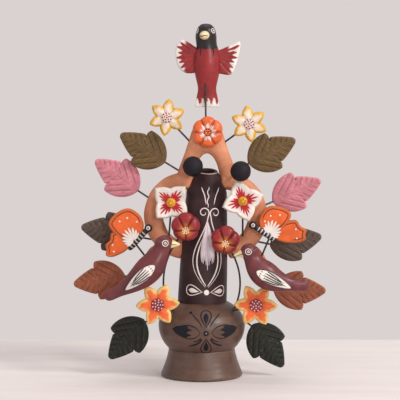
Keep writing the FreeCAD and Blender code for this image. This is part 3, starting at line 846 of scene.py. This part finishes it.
# ---- butterflies ----
# Wing outlines and dots, as (along the body towards the head, out from it).
FORE_WINGS = {
    "left": [(20, 1.5), (25.5, 6), (28.5, 14), (26, 24), (16, 28.8), (6, 28), (2.5, 21), (2.5, 10), (6, 1.5)],
    "right": [(19, 1.5), (23.5, 7), (24.5, 16), (20.5, 23), (10.5, 27), (3.5, 26), (1.5, 19), (3, 9),
              (7, 1.5)],
}
HIND_WINGS = {
    "left": [(10, 1.5), (3, 0.8), (-5, 2), (-13.5, 6), (-16.5, 11), (-13, 14), (-10, 17.5), (-4.5, 17.5),
             (1, 20.5), (7, 15)],
    "right": [(10, 1.5), (2, 0.8), (-7, 3.5), (-15, 9), (-19, 14.5), (-16.5, 18), (-15, 22), (-9, 22),
              (-3, 24), (3, 19), (7, 12)],
}
WING_DOTS = {
    "left": ((22.5, 11), (19.5, 19), (13, 22), (-6, 13), (-9.5, 8.5)),
    "right": ((18.5, 8.5), (17, 15), (11, 20), (-7, 17.5), (-12, 11.5)),
}


def make_butterfly(node, name, side, heading):
    """Orange wings with tan edges, inlaid lines and white bursts, and a striped black body."""
    thickness, inlay_at = 3.6, 2.7
    # the corners of the CAD butterfly, which the node's box fits round
    corners = np.array([(19, 1), (27, 9), (27, 24), (5, 28), (-13, 8), (-17, 15), (-8, 21), (24, 0), (0, 0)])
    place = placing(node, corners * (-1, 1), -heading, thickness, side)

    def paint(_x, y, edge):
        shade = blend(blend(ORANGE, TAN, 0.55), ORANGE, soft(1.6, edge, 1.0))
        return blend(shade, NIGHT, 0.9 * (hump(edge - inlay_at, 0.5) * soft(9, y, 5)))

    def relief(_x, y, edge):
        return 0.35 * np.clip(edge / 5, 0, 1) - 0.3 * hump(edge - inlay_at, 0.55) * soft(9, y, 5)

    wings = []
    for shape, lift in ((FORE_WINGS[name], 0.3), (HIND_WINGS[name], -0.25)):
        outline = closed_curve(np.array(shape) * (-1, 1), 16)
        wings.append(slab(place, outline, thickness - 0.5, relief, paint, outline.mean(0), 40, lift))
    piece_for(node, wings, MATTE)

    surface = front_of(place, thickness / 2 + 0.36)
    burst = []
    root = np.array([-9.0, 0.8])
    for k, length in enumerate((8, 10, 12, 13, 13, 12.5, 11.5, 10.5, 9, 8)):
        way = toward(radians(22 + 15.5 * k)) * (-1, 1)
        line = [root + way * reach for reach in (1.6, length * 0.55, length)]
        burst.append(stroke(surface, line, 2.0, WHITE, taper=(0.45, 0.35)))
    burst += [dot(surface, -along, out, 0.8, WHITE) for along, out in WING_DOTS[name]]
    marks(node, "wing_marks", burst)

    s = steps(60)
    plump = 2.5 * np.sqrt(np.clip(1 - (2 * s - 1) ** 6, 0.02, 1))
    rings, _, ends = tube(place(columns(-26 * s, 0.0, 0.4)), plump, plump, FRONT, 20)
    in_front = np.clip(np.sin(turns(20)) * 2 - 0.4, 0, 1)
    stripes = soft(0.82, np.sin(s * 8.5 * TAU) * (s > 0.06) * (s < 0.8), 0.2)[:, None] * in_front
    marks(node, "body", [(rings, blend(NIGHT, WHITE, stripes * 0.9), ends)], SATIN)
    head = place(np.array([-25.0, 0.0, 0.6]))
    marks(node, "head", [ball(head, 3.4, NIGHT)], SATIN)
    eye_surface = front_of(place, 3.85)
    eyes = [dot(eye_surface, -25.0, 0.2, *look)
            for look in ((1.75, WHITE), (1.25, NIGHT, 0.5), (0.6, WHITE, 0.65))]
    marks(node, "eye", eyes)


# ---- birds ----
BIRD_DEPTH = -37.0


def make_song_bird(node, side, tail_drop, beak_dip):
    """Maroon bird in profile with a cream beak, a ringed eye and a white, stroked wing."""
    low, high = np.array(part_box(node)) / MM
    dip = radians(beak_dip)
    beak_end = high[0] if side < 0 else low[0]
    head = np.array([beak_end + side * 14 * cos(dip), BIRD_DEPTH, high[2] - 7.2])

    def body_line(s):
        bend = 2 * s * (1 - s)
        return columns(head[0] + side * (bend * 8 + s * s * 49), BIRD_DEPTH,
                       head[2] - bend * 29 - s * s * tail_drop)

    s = steps(64)
    rise = np.linspace(7.0, 1.0, 8)
    line = np.vstack([head + columns(-side * 1.0, 0.0, rise), body_line(s)])
    round_top = np.sqrt(np.clip(1 - (rise / 7.25) ** 2, 0.03, 1)) * 7.2
    plump = np.sin(pi * s ** 0.85) ** 2
    neck = 1.1 * hump(s, 0.07)
    wide = np.r_[round_top, 6.2 - 2.8 * s + 6.4 * plump + neck + 1.4 * soft(0.9, s, 0.2)]
    deep = np.r_[round_top, 6.0 - 4.2 * s + 5.2 * plump + neck]
    wide[-4:] *= (0.98, 0.93, 0.8, 0.5)
    deep[-3:] *= (0.95, 0.8, 0.4)
    rings, _, ends = tube(line, wide, deep, FRONT, 44)
    way = (np.arange(len(line)) / len(line))[:, None]
    shade = blend(MAROON, tint(98, 46, 52), 0.5 + 0.5 * np.sin(way * 26 + rings[..., 0] * 0.4))
    piece_for(node, [(rings, shade, ends)], SATIN)

    t = steps(12)
    reach = 4 + 10 * t
    bill = head + columns(-side * cos(dip) * reach, 0.0, -sin(dip) * reach - 0.3 * t)
    thick = 4.5 * (1 - t) ** 0.85 + 0.3
    beak = tube(bill, thick, thick * 0.85, FRONT, 20, tint(222, 206, 158))
    marks(node, "beak", [beak], SATIN)

    def bill_side(across, up):
        bulge = 4.1 * np.clip(1 - (across - 4) / 10, 0.05, 1) ** 0.85
        rise = -sin(dip) * across - 0.05 * (across - 4) + up
        return facing(head + columns(-side * cos(dip) * across, -bulge, rise))
    slit = stroke(bill_side, [(5.6, 0.4), (8.4, -0.2), (12.4, 0.0)], 0.75, tint(92, 60, 44))
    marks(node, "beak_line", [slit])

    def face(across, up):
        bulge = np.sqrt(np.clip(7.6 ** 2 - across ** 2 - up ** 2, 4, None))
        return facing(columns(head[0] + across, BIRD_DEPTH - bulge, head[2] + up))
    turn = np.linspace(0, TAU, 17)
    eye = (-side * 1.7, 0.8)
    lines = [stroke(face, oval(eye, 2.4, 2.4, turn), 0.7, WHITE, (1, 1), 3),
             dot(face, *eye, 1.15, WHITE, 0.3), dot(face, *eye, 0.6, NIGHT, 0.5)]
    marks(node, "eye", lines)

    middle = body_line(0.56)
    ahead = body_line(0.76) - body_line(0.32)
    slope = degrees(atan2(ahead[2], ahead[0] * side))
    s = turns(96)
    height = 7.2 * np.sin(s) * (1 - 0.55 * (1 - np.cos(s)) / 2) * (1 - 0.25 * np.cos(s / 2) ** 8)

    def wing_place(points):
        flat = rotate(points[..., :2], slope) * (side, 1)
        curve = 0.014 * points[..., 1] ** 2 + 0.006 * (points[..., 0] + 6) ** 2
        return columns(middle[0] + flat[..., 0], middle[1] - 9.3 + curve - points[..., 2],
                       middle[2] + 0.6 + flat[..., 1])

    wing = slab(wing_place, columns(-16.5 * np.cos(s), height), 2.2,
                lambda _x, y, edge: 0.2 * np.cos(y * 2.6) * soft(1, edge, 1),
                lambda _x, _y, edge: blend(tint(96, 60, 60), WHITE, soft(0.7, edge, 0.8)), (-3, 0), 24)
    marks(node, "wing", [wing], MATTE)
    wing_front = front_of(wing_place, 1.3)
    quills = []
    for k in range(5):
        rise, off = 4.2 - 2.1 * k, abs(k - 2)
        start, end = -9.5 + 0.9 * off, 11.5 - 2.6 * off
        quill = [(start, rise), ((start + end) / 2, rise * 0.8 - 0.3), (end, rise * 0.45 - 0.3)]
        nick = [(-13.2 + 0.6 * off, rise * 0.8), (-12.2, rise * 0.9), (-11.2, rise)]
        quills += [stroke(wing_front, quill, 0.85, NIGHT, (0.5, 0.15)),
                   stroke(wing_front, nick, 0.6, NIGHT)]
    marks(node, "quills", quills)


# height above the tail, half width, half depth
TOP_BODY = [(0, 10.6, 2), (8, 9, 2.6), (16, 7.8, 4), (26, 9.9, 7), (36, 11.7, 8.5), (45, 10.8, 8),
            (52, 8.8, 7.8), (60, 8.9, 8.7), (66, 7.6, 7.6), (69.6, 4.6, 4.6), (70.6, 1.2, 1.2)]
TOP_WINGS = {       # outlines, as (out from the trunk, above the tail)
    "left": [(4, 48), (10, 51), (16, 55), (21.5, 57), (26, 52), (26.8, 43), (24.5, 34), (18.5, 29),
             (10, 29), (4, 32)],
    "right": [(4, 46), (11, 48.5), (20, 52.5), (27.5, 55.5), (28, 49), (26, 41), (23.5, 33),
              (20.5, 27.5), (12, 28), (4, 31)],
}


def make_top_bird():
    """Red bird that flies up, with a black hood, a cream beak and jagged white tips."""
    node = "top_bird"
    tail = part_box(node)[0][2] / MM
    trunk_x, depth, head_shift, beak_at = 4.5, 2.0, -1.0, 61
    up, wide, deep = smooth_line(TOP_BODY, 8).T
    wide[0] *= 0.9
    line = columns(trunk_x + head_shift * soft(54, up, 16), depth, tail + up)
    rings, _, ends = tube(line, wide, deep, FRONT, 56)
    across, height = rings[..., 0] - trunk_x, rings[..., 2] - tail
    shade = blend(WHITE, RED, soft(4.8 + 2.8 * np.sin(across * 1.3), height, 0.8))
    shade = blend(shade, NIGHT, soft(49 + 0.4 * np.sin(across), height, 0.8))
    parts = [(rings, shade, ends)]

    def place(points):
        return columns(points[..., 0], depth - points[..., 2], points[..., 1])
    for name, side in SIDES.items():
        outline = closed_curve(np.array(TOP_WINGS[name]) * (side, 1) + (trunk_x, tail), 14)
        shoulder = (trunk_x + side * 6, tail + 44)

        def feathers(x, y):
            return np.arctan2(y - shoulder[1], side * (x - shoulder[0]))

        def relief(x, y, edge):
            reach = np.hypot(x - shoulder[0], y - shoulder[1])
            cut = 0.4 * hump(np.cos(9 * feathers(x, y)), 0.35) * soft(9, reach, 6)
            return 0.35 * np.clip(edge / 4, 0, 1) - cut

        def paint(x, y, edge):
            angle = feathers(x, y)
            jag = 3.2 + 1.9 * np.cos(27 * angle) + 0.9 * np.sin(11 * angle)
            tip = soft(-0.85, angle, 0.4) * soft(18.5, side * (x - trunk_x), 3)
            return blend(RED, WHITE, tip * (1 - soft(jag, edge, 0.8)))

        parts.append(slab(place, outline, 3.8, relief, paint, outline.mean(0), 44))
    piece_for(node, parts, SATIN)

    head = (trunk_x + head_shift, depth, tail + beak_at)
    turned = -9        # degrees
    t = steps(12)
    way = np.array([sin(radians(turned)), -cos(radians(turned)), -0.05])
    thick = 4.3 * np.sqrt(1 - 0.86 * t ** 1.5)
    bill = head + (7.0 + 7.2 * t)[:, None] * way
    beak = tube(bill, thick, thick * 0.9, [0.0, 0.0, 1.0], 24, tint(222, 206, 166))
    marks(node, "beak", [beak], SATIN)

    def face(across, rise):
        """Points round the hood: an angle across in degrees, and a height from the beak's middle."""
        angle = np.radians(across)
        return head + upright(np.interp(beak_at + rise, up, wide), angle, rise), upright(1, angle, 0.0)

    def chest(across, rise):
        return facing(columns(trunk_x + across, depth - 8.3 + 0.05 * across * across, tail + rise))
    turn = np.linspace(0, TAU, 13)
    eye_rings, eyes, necks = [], [], []
    for side in SIDES.values():
        eye = (turned + side * 58.0, 3.4)
        eye_rings.append(stroke(face, oval(eye, 13, 1.9, turn), 0.7, WHITE, (1, 1), 3))
        eyes.append(dot(face, *eye, 0.7, WHITE, 0.3))
        neck = [(side * 5, 50.0), (side * 5.4, 45), (side * 4.6, 39.5)]
        necks.append(stroke(chest, neck, 1.1, NIGHT, (1, 0.1)))
    marks(node, "face_lines", eye_rings + eyes)
    marks(node, "neck_lines", necks)
    slit = []
    for across in np.linspace(-3.4, 3.4, 11):
        along = min(1.0, ((1 - (across / 4.3) ** 2) / 0.86) ** (2 / 3))
        slit.append(head + way * (7.05 + 7.2 * along) + (across, 0.0, 0.35 * sin(across) - 0.3))
    beak_line = tube(smooth_line(slit, 3), 0.42, 0.4, FRONT, 10, tint(66, 44, 34))
    marks(node, "beak_line", [beak_line])


# ---- the stage ----
CAMERA_PLACE, CAMERA_DROP, CAMERA_LENS = (-0.0015, -1.45, 0.265), 4.5, 153.54    # m, degrees, mm
LIGHTS = (      # name, place, aim, size, power, colour
    ("key", (2.2, -1.7, 2.1), (0, 0, 0.15), 0.8, 62, (1, 0.97, 0.93)),
    ("fill", (-1.8, -1.6, 1.1), (0, 0, 0.15), 1.4, 2, (0.95, 0.97, 1)),
    ("top", (0.05, 0.1, 1.3), (0, 0, 0.1), 0.7, 2.5, (1, 1, 1)),
    ("window", (1.0, -2.5, 0.6), (0, 0, 0.06), 0.35, 17, (1, 1, 1)),
)


def make_stage():
    """Whitewashed boards that end a little behind the tree, and a plain pale surround."""
    front, back, half, thickness = -2.2, 0.19, 1.6, 0.05
    mesh = bpy.data.meshes.new("floor")
    corners = [(x, y, z) for z in (0, -thickness)
               for x, y in ((-half, front), (half, front), (half, back), (-half, back))]
    rim = [(k, k + 4, (k + 1) % 4 + 4, (k + 1) % 4) for k in range(4)]
    mesh.from_pydata(corners, [], [(0, 1, 2, 3), (7, 6, 5, 4), *rim])
    material, shader, fill, add = new_material("whitewash")
    boards = add("Mapping", {"Vector": add("TexCoord").outputs["Object"], "Scale": (2, 14, 14)})
    wash = add("TexNoise", {"Vector": boards.outputs["Vector"], "Scale": 3}).outputs["Fac"]
    fill(shader, {"Base Color": ramp(add, wash, tint(212, 204, 202), tint(232, 226, 224)), "Roughness": 0.75})
    mesh.materials.append(material)
    floor = put("floor", mesh)
    world = bpy.data.worlds.new("surround")
    world.use_nodes = True
    background = world.node_tree.nodes["Background"]
    background.inputs["Color"].default_value = (*tint(217, 210, 209), 1)
    background.inputs["Strength"].default_value = 1.0
    bpy.context.scene.world = world
    bpy.context.scene.view_settings.view_transform = "Standard"


def add_light(name, place, aim, size, power, colour):
    """Square lamp at a place, turned to an aim."""
    lamp = bpy.data.lights.new(name, "AREA")
    lamp.size = size
    lamp.energy = power
    lamp.color = colour
    light = put(name, lamp)
    light.visible_camera = False
    light.location = place
    way = np.asarray(aim, float) - np.asarray(place, float)
    pitch = atan2(hypot(way[0], way[1]), -way[2])
    light.rotation_euler = (pitch, 0, atan2(way[1], way[0]) - pi / 2)


def make_camera():
    lens = bpy.data.cameras.new("camera")
    lens.lens = CAMERA_LENS
    lens.clip_start = 0.05
    camera = put("camera", lens)
    camera.location = CAMERA_PLACE
    camera.rotation_euler = (radians(90 - CAMERA_DROP), 0, 0)
    bpy.context.scene.camera = camera


# ---- assembly ----
TURNS = {       # degrees, left and right
    "yellow_star": (22, 38), "orange_star": (4, 58), "cup_flower": (48, 17), "red_flower": (90, 80),
    "butterfly": (48, 34), "tail_drop": (45.0, 28.0), "beak_dip": (2.0, 12.0),
}
STARS = {       # radius, colours of the petals, rim, disc and dots, and the rim's width
    "yellow_star": (15.8, tint(222, 208, 194), YELLOW, tint(222, 194, 186), tint(96, 14, 28), 2.1),
    "orange_star": (18.6, tint(228, 98, 54), tint(228, 190, 118), tint(138, 42, 56), WHITE, 2.3),
}
BERRY_RADIUS, BERRY_COLOUR = 8.6, tint(27, 22, 28)

make_camera()
make_stage()
for light in LIGHTS:
    add_light(*light)

make_foot()
make_belly()
make_bottle()
paint_bottle()
paint_belly()
make_coils()
make_pumpkin("crown_flower", 90, 6, ORANGE, ORANGE * 1.1, tufts=True)
make_top_bird()
for pick, (name, side) in enumerate(SIDES.items()):
    turn = {kind: pair[pick] for kind, pair in TURNS.items()}
    low, high = np.array(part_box("berry_" + name)) / MM
    berry = ball((low + high) / 2, BERRY_RADIUS, BERRY_COLOUR, lumps=0.012)
    piece_for("berry_" + name, [berry], CHARCOAL)
    for kind, look in STARS.items():
        make_star(kind + "_" + name, turn[kind], *look)
    make_cup_flower("cup_flower_" + name, turn["cup_flower"])
    make_pumpkin("red_flower_" + name, turn["red_flower"], 5, RED, OCHRE, tufts=False, sink=2.8)
    make_butterfly("butterfly_" + name, name, side, turn["butterfly"])
    make_song_bird("song_bird_" + name, side, turn["tail_drop"], turn["beak_dip"])
    for kind, (*tilts, colour) in LEAVES.items():
        make_leaf(kind + "_" + name, tilts[pick], side, colour)

wire = wire_material()
for node, piece in frame["nodes"].items():
    if node.endswith("_stem"):
        piece.data.materials.clear()
        piece.data.materials.append(wire)
